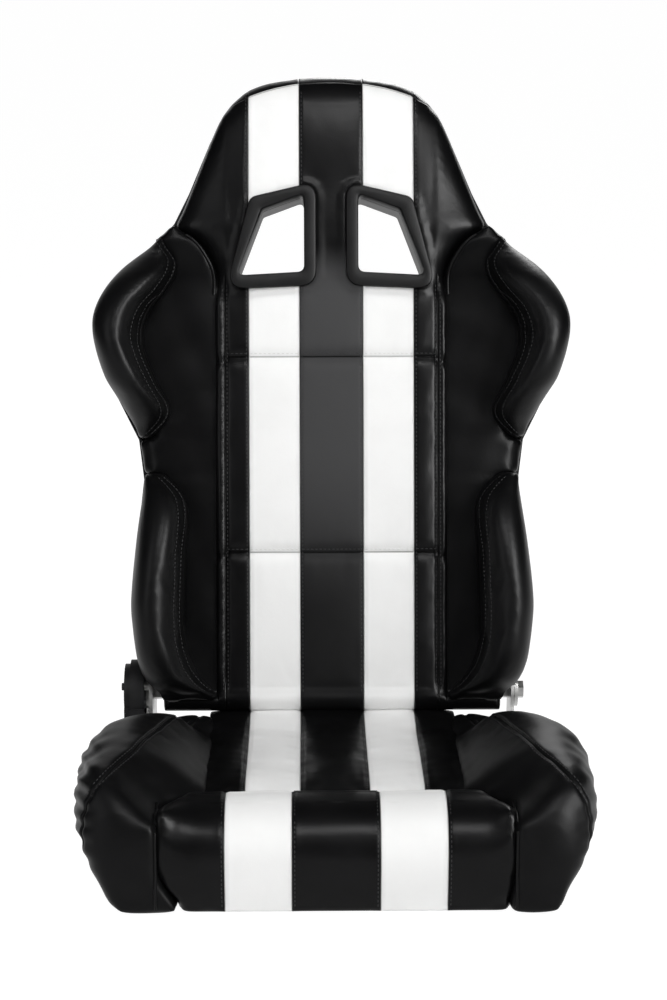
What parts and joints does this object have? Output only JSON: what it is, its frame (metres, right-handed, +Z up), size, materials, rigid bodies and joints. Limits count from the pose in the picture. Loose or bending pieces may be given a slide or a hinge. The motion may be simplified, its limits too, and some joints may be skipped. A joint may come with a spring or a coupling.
{
  "type": "reclining racing seat",
  "caption": "Reclining racing-style bucket seat with side bolsters, harness openings and a steel base frame that bolts down.",
  "frame": {"origin": "centre of the four mounting bolts, on the plane the side rails rest on", "axes": "+X across the seat (the sitter's left-hand side, on the right as seen from the front), +Y to the rear, +Z up; node names ending in _left lie on -X, as seen from the front"},
  "size_m": [0.582, 0.6188, 0.8299],
  "materials": {
    "frame_paint": "satin black powder coat",
    "zinc_steel": "zinc plated",
    "spring_steel": "oiled dark steel",
    "bush_bronze": "sintered bronze",
    "washer_plastic": "plain nylon",
    "shell_plastic": "fine grained black",
    "bezel_plastic": "satin black",
    "strap_webbing": "woven elastic",
    "striped_leatherette": "smooth leatherette, black with two white stripes",
    "black_leatherette": "smooth semi-gloss black leatherette"
  },
  "bodies": {
    "base": {"side_rail_left": "frame_paint", "side_rail_right": "frame_paint", "front_cross_tube": "frame_paint", "rear_cross_tube": "frame_paint", "weld_nuts": "zinc_steel", "seat_pan": "frame_paint", "hinge_plate_left": "zinc_steel", "hinge_plate_right": "zinc_steel", "hinge_plate_bolts": "zinc_steel", "pivot_bolts": "zinc_steel", "pivot_nuts": "zinc_steel", "pivot_bushes": "bush_bronze", "pivot_washers": "washer_plastic", "lever_pin": "zinc_steel", "lever_spring": "spring_steel", "recline_spring": "spring_steel", "recliner_cover": "shell_plastic", "cover_posts": "zinc_steel", "cover_screws": "shell_plastic", "seat_cushion": "striped_leatherette", "front_roll": "striped_leatherette", "thigh_bolster_left": "black_leatherette", "thigh_bolster_right": "black_leatherette"},
    "lever": {"recline_lever": "zinc_steel", "lever_grip": "shell_plastic", "lock_pawl": "zinc_steel"},
    "backrest": {"back_plate_left": "zinc_steel", "back_plate_right": "zinc_steel", "back_plate_bolts": "zinc_steel", "back_lower_tube": "frame_paint", "back_upright_left": "frame_paint", "back_upright_right": "frame_paint", "back_middle_tube": "frame_paint", "headrest_tube": "frame_paint", "back_straps": "strap_webbing", "centre_pad": "striped_leatherette", "headrest_pad": "striped_leatherette", "side_panel_left": "black_leatherette", "side_panel_right": "black_leatherette", "shoulder_bolster_left": "black_leatherette", "shoulder_bolster_right": "black_leatherette", "lumbar_bolster_left": "black_leatherette", "lumbar_bolster_right": "black_leatherette", "rear_cover": "shell_plastic", "bezel_front_left": "bezel_plastic", "bezel_front_right": "bezel_plastic", "bezel_rear_left": "bezel_plastic", "bezel_rear_right": "bezel_plastic"}
  },
  "joints": [
    {"name": "recline", "type": "hinge", "parent": "base", "child": "backrest", "pos_m": [0, 0.132, 0.114], "axis": [1, 0, 0], "range_deg": [-55, 25]},
    {"name": "lever", "type": "hinge", "parent": "base", "child": "lever", "pos_m": [0, 0.104, 0.072], "axis": [-1, 0, 0], "range_deg": [0, 14], "stiffness_Nm_per_rad": 2, "springref_deg": -5.73}
  ]
}
